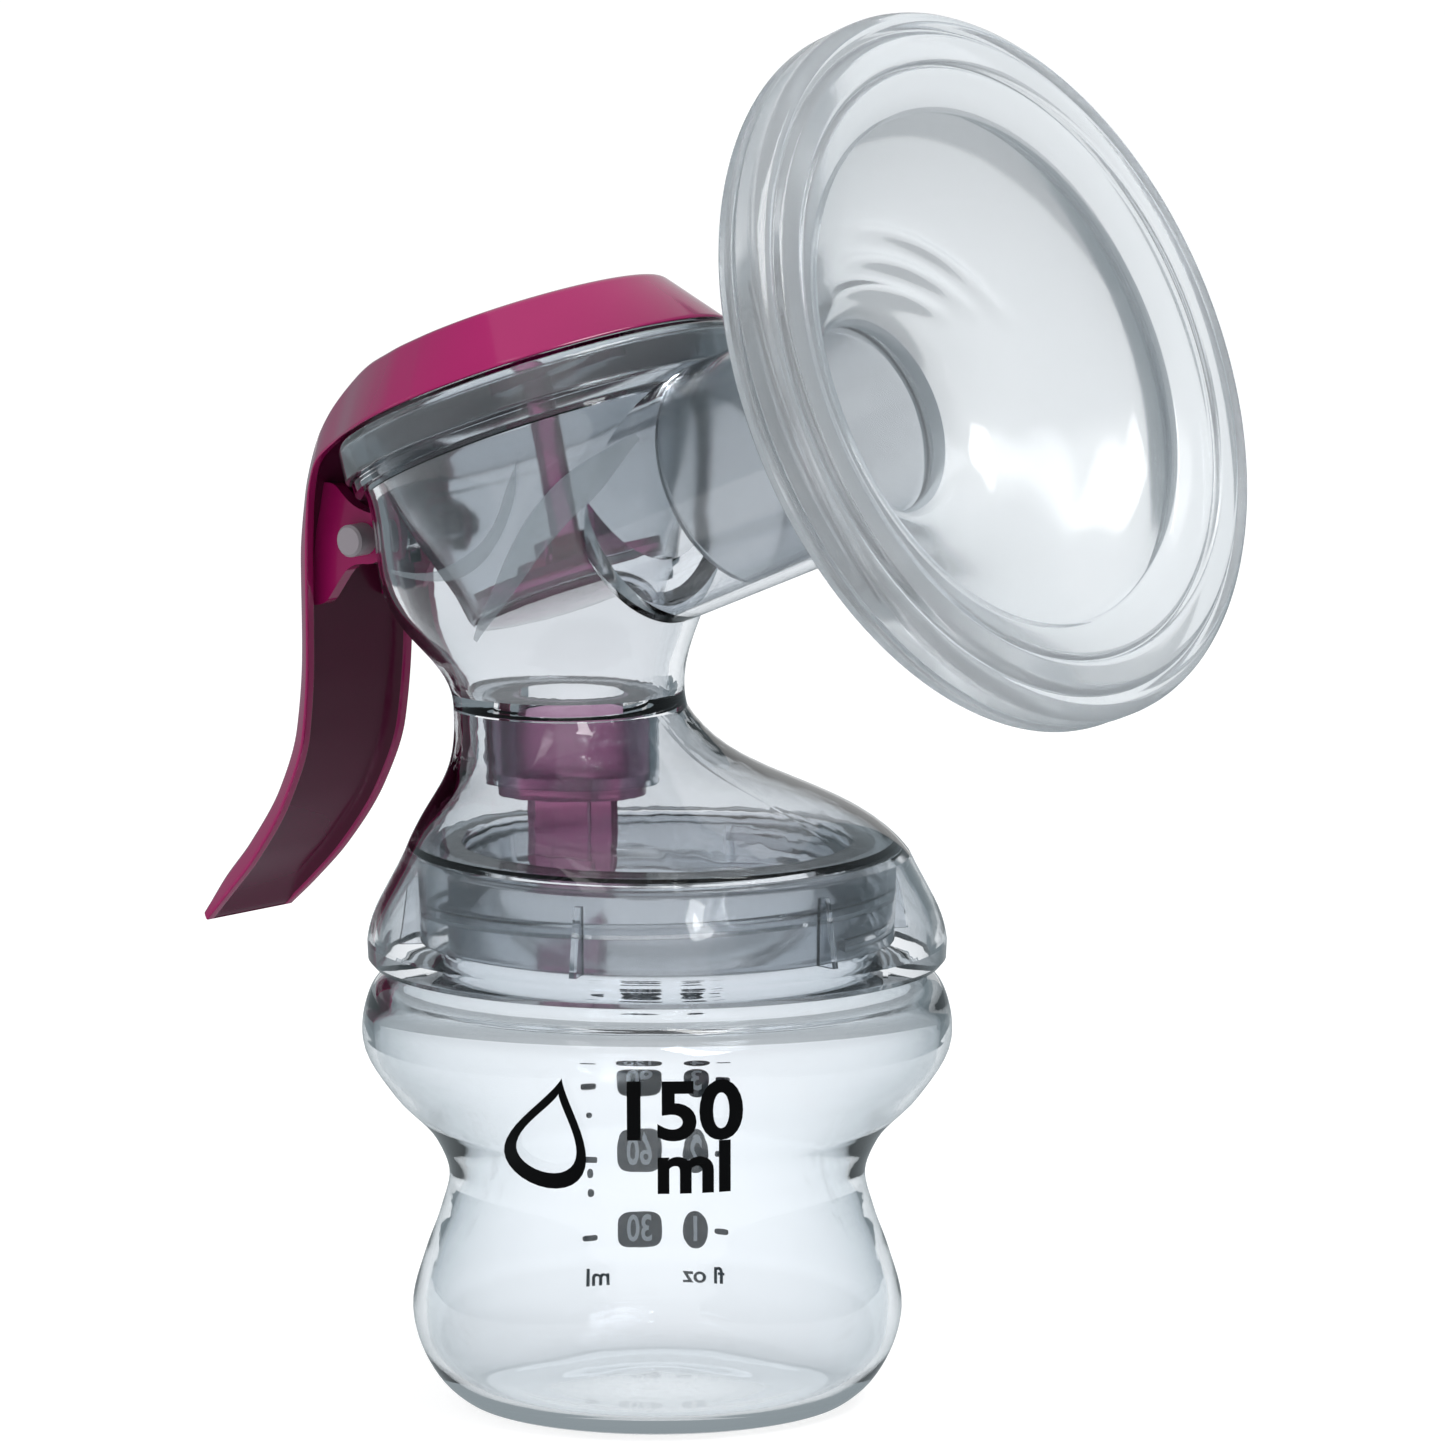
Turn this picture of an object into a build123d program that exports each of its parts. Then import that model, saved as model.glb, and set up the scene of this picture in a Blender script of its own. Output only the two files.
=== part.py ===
from build123d import *
import math
import os

# Manual breast pump: a wide-neck feeding bottle, a clear pump head screwed onto it, a silicone
# funnel cup, a silicone diaphragm drawn up by a plate and stem, and a lever handle on a cross pin.
# Millimetres. Origin at the centre of the bottle's flat foot, +Z up, +X towards the funnel.
# Every piece is symmetric about the plane y = 0.

# ---- driving dimensions ----
TILT = 22.0                 # lean of the chamber back from the vertical, and rise of the funnel
BOTTLE_TURN = -52.0         # direction of the bottle's pinched sides about +Z
BOTTLE_WALL = 1.6
NECK_R = 25.4
NECK_WALL = 1.8
NECK_TOP = 66.2
THREAD_PITCH = 4.0
THREAD_TURNS = 1.3
THREAD_DEPTH = 1.1
COLLAR_OUTER_R = 28.9
COLLAR_INNER_R = 27.95
COLLAR_BOTTOM = 57.2
SEAL_THICK = 1.2
HEAD_WALL = 1.8
SKIRT_BOTTOM = 54.3
WAIST_X = -13.5             # the waist and the valve hang behind the bottle's axis
WAIST_Z = 84.5
WAIST_R = 14.3
LID_X = -18.3               # centre of the chamber's open top
LID_Z = 123.1
CHAMBER_R = 24.5
CUFF_R = 25.7
CUFF_DROP = 4.4
HORN_X = 54.0               # centre of the funnel's rim plane
HORN_Z = 131.8
HORN_TUBE_R = 14.2
HORN_BORE_R = 13.0
HORN_TUBE_MOUTH = -25.6     # measured along the funnel axis from the rim plane
SLEEVE_R = 12.9
SLEEVE_BORE_R = 11.5
SLEEVE_END = -46.0
CUP_R = 44.0
PLATE_X = -12.7             # centre of the diaphragm plate's underside
PLATE_Z = 99.0
PLATE_R = 12.2
STEM_TILT = 13.5
STEM_R = 1.8
STEM_LENGTH = 28.6
STEM_BALL_R = 2.5
PIN_X = -40.0
PIN_Z = 103.6
PIN_R = 2.0
PIN_LENGTH = 21.0
PIN_RUNNING_GAP = 0.05
CAP_TOP = 8.6               # height of the handle's flat top above the chamber's rim
CAP_BOTTOM = 0.9
CAP_LOWER_R = 24.4
CAP_UPPER_R = 18.5
HANDLE_WALL = 1.5
VALVE_SOCKET_R = 10.8
VALVE_PLUG_R = 9.7
LIP_LENGTH_X = 10.0
LIP_TOP = 64.6
LIP_BOTTOM = 54.8
LIP_SPREAD = 2.75           # half the duckbill's thickness at the top of its lips
LIP_WALL = 0.7

tilt = math.radians(TILT)
chamber_axis = Vector(-math.sin(tilt), 0, math.cos(tilt))
horn_axis = Vector(math.cos(tilt), 0, math.sin(tilt))
lid_centre = Vector(LID_X, 0, LID_Z)
horn_centre = Vector(HORN_X, 0, HORN_Z)
lid_plane = Plane(origin=lid_centre, x_dir=horn_axis, z_dir=chamber_axis)
horn_plane = Plane(origin=horn_centre, x_dir=Vector(0, 1, 0), z_dir=horn_axis)
side_plane = Plane.XZ


def lid_point(along, up):
    """World (x, z) of a point given along the horn direction and up the chamber's axis."""
    point = lid_centre + horn_axis * along + chamber_axis * up
    return (point.X, point.Z)


def level(x, z, lean=0.0):
    """Plane across the body at (x, 0, z), leaning back by the given angle."""
    angle = math.radians(lean)
    return Plane(
        origin=(x, 0, z),
        x_dir=(math.cos(angle), 0, math.sin(angle)),
        z_dir=(-math.sin(angle), 0, math.cos(angle)),
    )


def disc_loft(sections, shrink=0.0):
    """Smooth solid through circles given as (x, z, radius, lean)."""
    faces = [level(x, z, lean) * Circle(radius - shrink) for x, z, radius, lean in sections]
    return loft(faces)


def ring(outer, inner, bottom, top):
    """Upright tube between two heights."""
    height = top - bottom
    middle = (bottom + top) / 2
    return Pos(0, 0, middle) * (Cylinder(outer, height) - Cylinder(inner, height + 1))


def turned(points, plane=None):
    """Solid of revolution about +Z from (radius, z) corners, then set on a plane."""
    profile = Plane.XZ * make_face(Polyline(points, close=True))
    solid = revolve(profile, Axis.Z)
    return plane.location * solid if plane else solid


def thread_ridge(root_r, depth, bottom, inward=False):
    """Helical ridge with a tapered section, standing out of a wall or into it."""
    sign = -1 if inward else 1
    height = THREAD_PITCH * THREAD_TURNS
    path = Helix(THREAD_PITCH, height, root_r)
    start = path @ 0
    section_plane = Plane(origin=start, x_dir=(sign, 0, 0), z_dir=path % 0)
    half_base = 0.95
    half_crest = 0.4
    corners = [(-0.25, -half_base), (depth, -half_crest), (depth, half_crest), (-0.25, half_base)]
    ridge = sweep(section_plane * make_face(Polyline(corners, close=True)), path, is_frenet=True)
    return Pos(0, 0, bottom) * ridge


# ---- bottle ----
def bottle_oval(z, half_across, half_deep):
    return Pos(0, 0, z) * Rot(0, 0, BOTTLE_TURN) * Ellipse(half_deep, half_across)


def bottle():
    shoulder_z = 45.0
    shoulder_r = 35.9
    across_and_deep = [
        (6.4, 28.6, 28.8),
        (11.5, 29.9, 29.9),
        (18.5, 28.3, 29.6),
        (23.5, 26.5, 29.3),
        (28.7, 25.4, 29.3),
        (33.0, 27.1, 30.2),
        (38.5, 32.3, 33.0),
        (shoulder_z, shoulder_r, shoulder_r),
    ]
    foot_r = 22.3
    outer = loft([bottle_oval(z, a, b) for z, a, b in [(0, foot_r, foot_r), (1.6, 25.1, 25.1)] + across_and_deep])
    floor = [(BOTTLE_WALL + 0.2, foot_r - 0.4, foot_r - 0.4)]
    hollow = [(z, a - BOTTLE_WALL, b - BOTTLE_WALL) for z, a, b in across_and_deep]
    inner = loft([bottle_oval(z, a, b) for z, a, b in floor + hollow])
    shoulder = [(shoulder_r, shoulder_z), (35.6, 49.0), (34.3, 52.0), (31.0, 53.9), (27.0, 54.8), (NECK_R, 55.4)]
    shoulder_curve = Spline(*[(r, z) for r, z in shoulder], tangents=[(0, 1), (-0.3, 1)])
    neck_in = NECK_R - NECK_WALL
    inside = [
        (neck_in, 53.6),
        (29.6, 52.2),
        (32.6, 50.3),
        (34.0, 48.0),
        (shoulder_r - BOTTLE_WALL, shoulder_z),
    ]
    inside_curve = Spline(*inside, tangents=[(0.2, -1), (0, -1)])
    outline = [
        shoulder_curve,
        Line(shoulder_curve @ 1, (NECK_R, NECK_TOP)),
        Line((NECK_R, NECK_TOP), (neck_in, NECK_TOP)),
        Line((neck_in, NECK_TOP), inside_curve @ 0),
        inside_curve,
        Line(inside_curve @ 1, (shoulder_r, shoulder_z)),
    ]
    top = revolve(Plane.XZ * make_face(outline), Axis.Z)
    dome = Pos(0, 0, -23.7) * Sphere(27.4) & Pos(0, 0, 5) * Cylinder(12, 7.4)
    body = (outer - inner) + top + dome
    return body + thread_ridge(NECK_R, THREAD_DEPTH, 58.6)


def neck_seal():
    seal = ring(26.6, NECK_R - NECK_WALL + 0.3, NECK_TOP, NECK_TOP + SEAL_THICK)
    return seal


# ---- pump head ----
def chamber_sections():
    drop = 6.0
    x, z = lid_point(0, -drop)
    return [
        (WAIST_X, WAIST_Z, WAIST_R, 0),
        (WAIST_X - 0.8, 88.8, 14.8, 4),
        (-15.0, 94.5, 17.9, 10),
        (-15.5, 100.5, 20.9, 15),
        (x, z, CHAMBER_R - 0.4, TILT),
    ]


def dome_sections():
    return [
        (0, 67.6, 30.8, 0),
        (-4.1, 74.2, 24.0, 0),
        (-10.4, 79.6, 16.8, 0),
        (WAIST_X, WAIST_Z, WAIST_R, 0),
    ]


def horn_cylinder(radius, start, end):
    return horn_plane.location * Pos(0, 0, (start + end) / 2) * Cylinder(radius, end - start)


def skirt():
    outer = Spline((30.8, 67.6), (33.5, 62.4), (35.3, 57.0), tangents=[(0.45, -1), (0.1, -1)])
    inner = Spline((29.0, 67.6), (31.8, 62.4), (33.7, 57.0), tangents=[(0.45, -1), (0.1, -1)])
    edge = [(35.3, 57.0), (35.2, 55.0), (34.6, SKIRT_BOTTOM), (34.0, SKIRT_BOTTOM), (33.7, 57.0)]
    outline = [outer, Polyline(edge), inner, Line((29.0, 67.6), (30.8, 67.6))]
    return revolve(Plane.XZ * make_face(outline), Axis.Z)


def collar():
    ceiling = NECK_TOP + SEAL_THICK
    top = ceiling + 1.2
    wall = ring(COLLAR_OUTER_R, COLLAR_INNER_R, COLLAR_BOTTOM, top)
    seat = ring(COLLAR_OUTER_R, NECK_R - NECK_WALL + 0.4, ceiling, top)
    crest = COLLAR_INNER_R - NECK_R - THREAD_DEPTH - 0.4
    ridge = thread_ridge(COLLAR_INNER_R, crest, 58.9, inward=True)
    return wall + seat + ridge + collar_ribs()


def collar_ribs():
    """Upright fins on the outside of the collar, inside the skirt."""
    rib_count = 6
    inner_r = COLLAR_OUTER_R - 0.2
    outline = [(inner_r, 65.4), (30.0, 65.4), (31.6, COLLAR_BOTTOM), (inner_r, COLLAR_BOTTOM)]
    fin = extrude(Plane.XZ * make_face(Polyline(outline, close=True)), 0.45, both=True)
    return [Rot(0, 0, -10 + 360 / rib_count * i) * fin for i in range(rib_count)]


def pin_lugs():
    eye_r = PIN_R + 1.4
    eye = Pos(PIN_X, 0, PIN_Z) * Rot(90, 0, 0) * Cylinder(eye_r, 10.8)
    root = Pos(PIN_X + 4.0, 0, PIN_Z - 0.2) * Box(8.0, 10.8, 2 * eye_r - 1.2)
    slot = Pos(PIN_X - 1.0, 0, PIN_Z) * Box(9.0, 5.0, 12.0)
    hole = Pos(PIN_X, 0, PIN_Z) * Rot(90, 0, 0) * Cylinder(PIN_R, 30)
    return eye + root - slot, hole


def pump_body():
    chamber = disc_loft(chamber_sections())
    chamber_hollow = disc_loft(chamber_sections(), HEAD_WALL)
    dome = disc_loft(dome_sections())
    dome_hollow = disc_loft(dome_sections(), HEAD_WALL)
    rim = lid_plane.location * Pos(0, 0, -3.3) * Cylinder(CHAMBER_R, 5.4)
    bead = lid_plane.location * Pos(0, 0, -5.5) * Cylinder(CUFF_R - 0.4, 1.2)
    rim_bore = lid_plane.location * Pos(0, 0, -3.15) * Cylinder(CHAMBER_R - 1.7, 6.3)
    tube = horn_cylinder(HORN_TUBE_R, -60.0, HORN_TUBE_MOUTH)
    tube_bore = horn_cylinder(HORN_BORE_R, -58.0, HORN_TUBE_MOUTH + 1)
    lugs, pin_hole = pin_lugs()
    shell = chamber + dome + rim + bead + tube + lugs
    shell = shell - chamber_hollow - dome_hollow - rim_bore - tube_bore - pin_hole
    bulkhead = Pos(WAIST_X, 0, WAIST_Z + 0.6) * (Cylinder(WAIST_R - 1, 2.4) - Cylinder(6.5, 4))
    socket_bottom = 75.4
    socket_height = WAIST_Z - socket_bottom
    socket_bore_r = VALVE_PLUG_R + 0.05
    socket = Cylinder(VALVE_SOCKET_R, socket_height) - Cylinder(socket_bore_r, socket_height + 1)
    socket = Pos(WAIST_X, 0, WAIST_Z - socket_height / 2) * socket
    return shell + bulkhead + socket + skirt() + collar()


def pivot_pin():
    pin = Pos(PIN_X, 0, PIN_Z) * Rot(90, 0, 0) * Cylinder(PIN_R, PIN_LENGTH)
    return chamfer(pin.edges(), 0.3)


# ---- silicone funnel cup ----
def silicone_cup():
    outline = [
        (SLEEVE_BORE_R, SLEEVE_END),
        (SLEEVE_R, SLEEVE_END),
        (SLEEVE_R, -25.4),
        (15.2, -25.4),
        (17.5, -22.6),
        (27.0, -15.0),
        (37.5, -9.4),
        (41.5, -8.2),
        (43.3, -7.2),
        (CUP_R, -5.8),
        (CUP_R, -2.0),
        (43.0, -0.6),
        (41.0, 0),
        (38.0, -0.3),
        (31.8, -2.6),
        (31.8, -3.6),
        (33.2, -4.8),
        (33.0, -6.6),
        (27.0, -11.6),
        (18.0, -17.0),
        (13.2, -19.4),
        (12.2, -21.0),
        (SLEEVE_BORE_R, -24.0),
    ]
    return turned(outline, horn_plane)


# ---- diaphragm, its plate and stem ----
def diaphragm_cuff():
    top = 0.3
    rim_top = -0.6
    outline = [
        (CHAMBER_R + 0.02, -CUFF_DROP),
        (CUFF_R, -CUFF_DROP),
        (CUFF_R, top - 0.8),
        (CUFF_R - 0.8, top),
        (21.4, top),
        (21.0, top - 0.4),
        (21.0, -2.2),
        (22.2, -2.2),
        (22.2, rim_top),
        (CHAMBER_R + 0.02, rim_top),
    ]
    return turned(outline, lid_plane)


def diaphragm_sections():
    mouth_x, mouth_z = lid_point(0, -2.2)
    middle_x, middle_z = lid_point(-1.2, -12.0)
    lower_x, lower_z = lid_point(-3.0, -21.0)
    return [
        (mouth_x, mouth_z, 22.2, TILT),
        (middle_x, middle_z, 19.0, TILT),
        (lower_x, lower_z, 14.6, TILT),
        (PLATE_X, PLATE_Z, PLATE_R + 1.2, TILT),
    ]


def diaphragm():
    wall = 1.1
    sections = diaphragm_sections()
    cup = disc_loft(sections) - disc_loft(sections, wall)
    bottom = level(PLATE_X, PLATE_Z, TILT).location * Pos(0, 0, -0.6) * Cylinder(PLATE_R + 1.2, 1.2)
    return cup + bottom


def diaphragm_plate():
    outline = [
        (0, 0),
        (PLATE_R - 1.0, 0),
        (PLATE_R - 0.2, 0.8),
        (PLATE_R - 0.2, 2.6),
        (PLATE_R - 1.4, 2.6),
        (PLATE_R - 2.2, 1.7),
        (6.6, 1.9),
        (6.0, 4.2),
        (3.6, 4.4),
        (3.4, 6.6),
        (0, 6.6),
    ]
    plate = turned(outline, level(PLATE_X, PLATE_Z, TILT))
    return plate - stem_rod(STEM_R + 0.4, STEM_R + 0.4)


def stem_rod(radius, foot_radius):
    foot = level(PLATE_X, PLATE_Z, STEM_TILT).location
    rod = foot * Pos(0, 0, 2.0 + STEM_LENGTH / 2) * Cylinder(radius, STEM_LENGTH)
    return rod + foot * Pos(0, 0, 4.4) * Cylinder(foot_radius, 4.8)


def drive_stem():
    foot = level(PLATE_X, PLATE_Z, STEM_TILT).location
    ball = foot * Pos(0, 0, STEM_LENGTH) * Sphere(STEM_BALL_R)
    shank = foot * Pos(0, 0, 2.0 + (STEM_LENGTH - 2.0) / 2) * Cylinder(STEM_R, STEM_LENGTH - 2.0)
    foot_boss = foot * Pos(0, 0, 4.4) * Cylinder(STEM_R + 0.4, 4.8)
    return shank + foot_boss + ball


# ---- handle ----
def handle_stations():
    """(rim x, rim z, back x, back z, half width at the rim, half width at the back)."""
    start = lid_point(-2, CAP_BOTTOM) + lid_point(-2, CAP_TOP) + (24.2, 18.4)
    flare = lid_point(-12, CAP_BOTTOM) + lid_point(-12, CAP_TOP - 0.1) + (21.2, 14.6)
    return [
        start,
        flare,
        (-37.2, 116.6, -38.6, 123.1, 16.4, 12.2),
        (-43.6, 112.6, -44.6, 117.0, 12.8, 10.3),
        (-45.8, 107.8, -48.0, 109.0, 11.2, 9.2),
        (-46.7, 100.0, -49.5, 100.3, 10.4, 8.5),
        (-46.9, 88.0, -49.8, 88.0, 10.1, 8.0),
        (-47.8, 78.5, -50.8, 79.2, 9.9, 7.9),
        (-51.0, 70.2, -53.6, 71.6, 9.7, 7.8),
        (-56.5, 62.3, -58.8, 64.2, 9.3, 7.4),
        (-61.7, 56.9, -63.8, 58.6, 8.8, 7.0),
        (-65.2, 53.6, -66.2, 54.6, 8.2, 7.7),
    ]


def trapezoid(rim_x, rim_z, back_x, back_z, rim_half, back_half):
    corners = [
        (rim_x, -rim_half, rim_z),
        (rim_x, rim_half, rim_z),
        (back_x, back_half, back_z),
        (back_x, -back_half, back_z),
    ]
    return Face(Wire.make_polygon([Vector(*corner) for corner in corners], close=True))


def trough(station, wall):
    """Inner section of the lever: open at the rim, stopping a wall short of the back."""
    rim_x, rim_z, back_x, back_z, rim_half, back_half = station
    depth = math.hypot(back_x - rim_x, back_z - rim_z)
    step_x = (back_x - rim_x) / depth
    step_z = (back_z - rim_z) / depth
    floor = max(depth - wall, 0.7)
    return trapezoid(
        rim_x - 0.5 * step_x,
        rim_z - 0.5 * step_z,
        rim_x + floor * step_x,
        rim_z + floor * step_z,
        rim_half - 0.9 * wall,
        back_half - 0.6 * wall,
    )


def lever_loft(sections):
    """Flat-sided shoulder behind the cap, running into the smooth curve of the lever."""
    bend = 3
    return loft(sections[:bend + 1], ruled=True) + loft(sections[bend:])


def handle():
    stations = handle_stations()
    lever = lever_loft([trapezoid(*station) for station in stations])
    hollow = lever_loft([trough(station, HANDLE_WALL) for station in stations[:-1]])
    cap_height = CAP_TOP - CAP_BOTTOM
    cap_place = lid_plane.location * Pos(0, 0, CAP_BOTTOM + cap_height / 2)
    cap = cap_place * Cone(CAP_LOWER_R, CAP_UPPER_R, cap_height)
    slope = (CAP_LOWER_R - CAP_UPPER_R) / cap_height
    inner_height = cap_height - HANDLE_WALL
    inner_lower = CAP_LOWER_R - 1.9 + 0.5 * slope
    inner_upper = CAP_LOWER_R - 1.9 - slope * inner_height
    inner_place = lid_plane.location * Pos(0, 0, CAP_BOTTOM - 0.5 + (inner_height + 0.5) / 2)
    cap_hollow = inner_place * Cone(inner_lower, inner_upper, inner_height + 0.5)
    shell = lever + cap - hollow - cap_hollow
    return shell + stem_rails() + pin_brackets()


def stem_rails():
    """Two hooked rails under the cap that carry the stem's ball and let it slide forward."""
    rails = None
    for side in (-1, 1):
        web = lid_plane.location * Pos(3.6, side * 4.6, 4.2) * Box(13.6, 1.2, 6.4)
        hook = lid_plane.location * Pos(3.6, side * 3.6, 1.5) * Box(13.6, 2.8, 1.0)
        rails = web + hook if rails is None else rails + web + hook
    return rails


def pin_brackets():
    """Two gussets on the lever's inner face with eyes that turn on the cross pin."""
    eye_r = PIN_R + 1.1
    outline = [(-48.4, 96.0), (-45.0, 96.6), (-38.6, 101.2), (-38.4, 104.4), (-40.6, 106.6), (-47.6, 107.8)]
    gusset = Plane.XZ * make_face(Polyline(outline, close=True))
    brackets = None
    for side in (-1, 1):
        plate = Pos(0, side * 6.55 + 0.9, 0) * extrude(gusset, 1.8)
        eye = Pos(PIN_X, side * 6.55, PIN_Z) * Rot(90, 0, 0) * Cylinder(eye_r, 1.8)
        one = plate + eye
        brackets = one if brackets is None else brackets + one
    hole = Pos(PIN_X, 0, PIN_Z) * Rot(90, 0, 0) * Cylinder(PIN_R + PIN_RUNNING_GAP, 30)
    return brackets - hole


# ---- one-way valve ----
def valve_body():
    plug = Pos(WAIST_X, 0, 79.9) * Cylinder(VALVE_PLUG_R, 8.0)
    step = Pos(WAIST_X, 0, 74.9) * Cylinder(9.2, 2.4)
    duct_height = 73.7 - LIP_TOP - 0.15
    duct_z = LIP_TOP + 0.15 + duct_height / 2
    duct = Pos(WAIST_X, 0, duct_z) * Box(LIP_LENGTH_X, 2 * LIP_SPREAD, duct_height)
    bore_half = LIP_LENGTH_X / 2 - 0.8
    bore = Pos(WAIST_X, 0, 72) * Box(2 * bore_half, 2 * LIP_SPREAD - 1.6, 30)
    throat = Pos(WAIST_X, 0, 80.4) * Cylinder(7.0, 8.0)
    cheeks = None
    for side in (-1, 1):
        cheek = duct_cheek(side)
        cheeks = cheek if cheeks is None else cheeks + cheek
    return plug + step + duct + cheeks - bore - throat


def duct_cheek(side):
    """Triangular end wall that closes the duckbill between its two lips."""
    inner = LIP_SPREAD - LIP_WALL - 0.05
    points = [(-inner, LIP_TOP + 0.2), (inner, LIP_TOP + 0.2), (0.05, LIP_BOTTOM + 0.6), (-0.05, LIP_BOTTOM + 0.6)]
    face = Plane.YZ * make_face(Polyline(points, close=True))
    x = WAIST_X + side * (LIP_LENGTH_X / 2 - 0.35) - 0.35
    return Pos(x, 0, 0) * extrude(face, 0.7)


def valve_lip(side):
    points = [
        (LIP_SPREAD - LIP_WALL, LIP_TOP),
        (LIP_SPREAD, LIP_TOP),
        (0.05 + LIP_WALL, LIP_BOTTOM),
        (0.05, LIP_BOTTOM),
        (0.05, LIP_BOTTOM + 0.5),
    ]
    mirrored = [(side * y, z) for y, z in points]
    face = Plane.YZ * make_face(Polyline(mirrored, close=True))
    return Pos(WAIST_X - LIP_LENGTH_X / 2, 0, 0) * extrude(face, LIP_LENGTH_X)


pieces = {
    "bottle": bottle(),
    "neck_seal": neck_seal(),
    "pump_body": pump_body(),
    "pivot_pin": pivot_pin(),
    "silicone_cup": silicone_cup(),
    "diaphragm_cuff": diaphragm_cuff(),
    "diaphragm": diaphragm(),
    "diaphragm_plate": diaphragm_plate(),
    "drive_stem": drive_stem(),
    "handle": handle(),
    "valve_body": valve_body(),
    "valve_lip_left": valve_lip(1),
    "valve_lip_right": valve_lip(-1),
}

os.makedirs("parts", exist_ok=True)
for name, piece in pieces.items():
    export_step(piece, "parts/" + name + ".step")
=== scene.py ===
import math

import bmesh
import bpy
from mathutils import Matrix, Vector
from mathutils.bvhtree import BVHTree


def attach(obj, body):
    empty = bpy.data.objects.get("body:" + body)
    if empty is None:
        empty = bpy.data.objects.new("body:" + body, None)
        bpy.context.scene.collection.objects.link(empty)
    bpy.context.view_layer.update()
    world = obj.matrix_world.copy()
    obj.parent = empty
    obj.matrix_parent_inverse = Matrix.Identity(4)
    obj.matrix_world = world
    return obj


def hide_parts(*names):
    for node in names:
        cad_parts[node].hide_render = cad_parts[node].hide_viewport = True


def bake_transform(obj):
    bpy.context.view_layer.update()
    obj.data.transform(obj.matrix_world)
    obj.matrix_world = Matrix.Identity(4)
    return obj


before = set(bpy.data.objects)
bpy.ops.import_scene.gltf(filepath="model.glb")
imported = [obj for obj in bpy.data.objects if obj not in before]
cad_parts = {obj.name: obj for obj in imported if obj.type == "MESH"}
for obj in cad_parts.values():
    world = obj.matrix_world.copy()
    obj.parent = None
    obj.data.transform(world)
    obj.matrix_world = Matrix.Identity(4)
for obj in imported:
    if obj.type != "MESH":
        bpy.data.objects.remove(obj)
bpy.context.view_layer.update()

MM = 0.001

# ---- the pump's own directions and places, in mm ----
LID_TILT = math.radians(22.0)
ALONG = Vector((math.cos(LID_TILT), 0.0, math.sin(LID_TILT)))
UP = Vector((-math.sin(LID_TILT), 0.0, math.cos(LID_TILT)))
SIDE = Vector((0.0, 1.0, 0.0))
LID_CENTRE = Vector((-18.3, 0.0, 123.1))
CUP_CENTRE = Vector((54.0, 0.0, 131.8))
FRONT_ANGLE = math.radians(-52.0)
OUTWARD = Vector((math.cos(FRONT_ANGLE), math.sin(FRONT_ANGLE), 0.0))
RIGHTWARD = Vector((-math.sin(FRONT_ANGLE), math.cos(FRONT_ANGLE), 0.0))

# ---- camera: the photograph's view, a long lens slightly above the object ----
CAMERA_AZIMUTH = math.radians(38.0)
CAMERA_ELEVATION = math.radians(8.5)
CAMERA_DISTANCE = 1.3
CAMERA_TARGET = Vector((10.1, 0.0, 84.5)) * MM
CAMERA_LENS = 268.0


def make_camera():
    back = Vector((
        math.sin(CAMERA_AZIMUTH) * math.cos(CAMERA_ELEVATION),
        -math.cos(CAMERA_AZIMUTH) * math.cos(CAMERA_ELEVATION),
        math.sin(CAMERA_ELEVATION),
    ))
    data = bpy.data.cameras.new("camera")
    data.lens = CAMERA_LENS
    data.sensor_width = 36.0
    camera = bpy.data.objects.new("camera", data)
    bpy.context.scene.collection.objects.link(camera)
    camera.location = CAMERA_TARGET + back * CAMERA_DISTANCE
    camera.rotation_euler = back.to_track_quat("Z", "Y").to_euler()
    bpy.context.scene.camera = camera


# ---- studio ----
def make_light(name, azimuth, elevation, distance, width, height, power):
    """Soft rectangular light aimed at the pump; azimuth is measured like the camera's."""
    turn = math.radians(azimuth)
    rise = math.radians(elevation)
    way = Vector((
        math.sin(turn) * math.cos(rise),
        -math.cos(turn) * math.cos(rise),
        math.sin(rise),
    ))
    data = bpy.data.lights.new(name, "AREA")
    data.shape = "RECTANGLE"
    data.size = width
    data.size_y = height
    data.energy = power
    light = bpy.data.objects.new(name, data)
    bpy.context.scene.collection.objects.link(light)
    light.location = CAMERA_TARGET + way * distance
    light.rotation_euler = way.to_track_quat("Z", "Y").to_euler()


def make_world():
    world = bpy.data.worlds.new("studio")
    world.use_nodes = True
    bpy.context.scene.world = world
    background = world.node_tree.nodes["Background"]
    background.inputs["Color"].default_value = (0.97, 0.99, 1.0, 1.0)
    background.inputs["Strength"].default_value = 0.6


def make_floor():
    bpy.ops.mesh.primitive_plane_add(size=40.0, location=(0, 0, 0))
    floor = bpy.context.object
    floor.name = "floor"
    material = bpy.data.materials.new("floor_white")
    material.use_nodes = True
    shader = material.node_tree.nodes["Principled BSDF"]
    shader.inputs["Base Color"].default_value = (0.3, 0.3, 0.3, 1.0)
    shader.inputs["Roughness"].default_value = 0.95
    shader.inputs["Emission Color"].default_value = (1.0, 1.0, 1.0, 1.0)
    shader.inputs["Emission Strength"].default_value = 0.82
    floor.data.materials.append(material)


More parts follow.
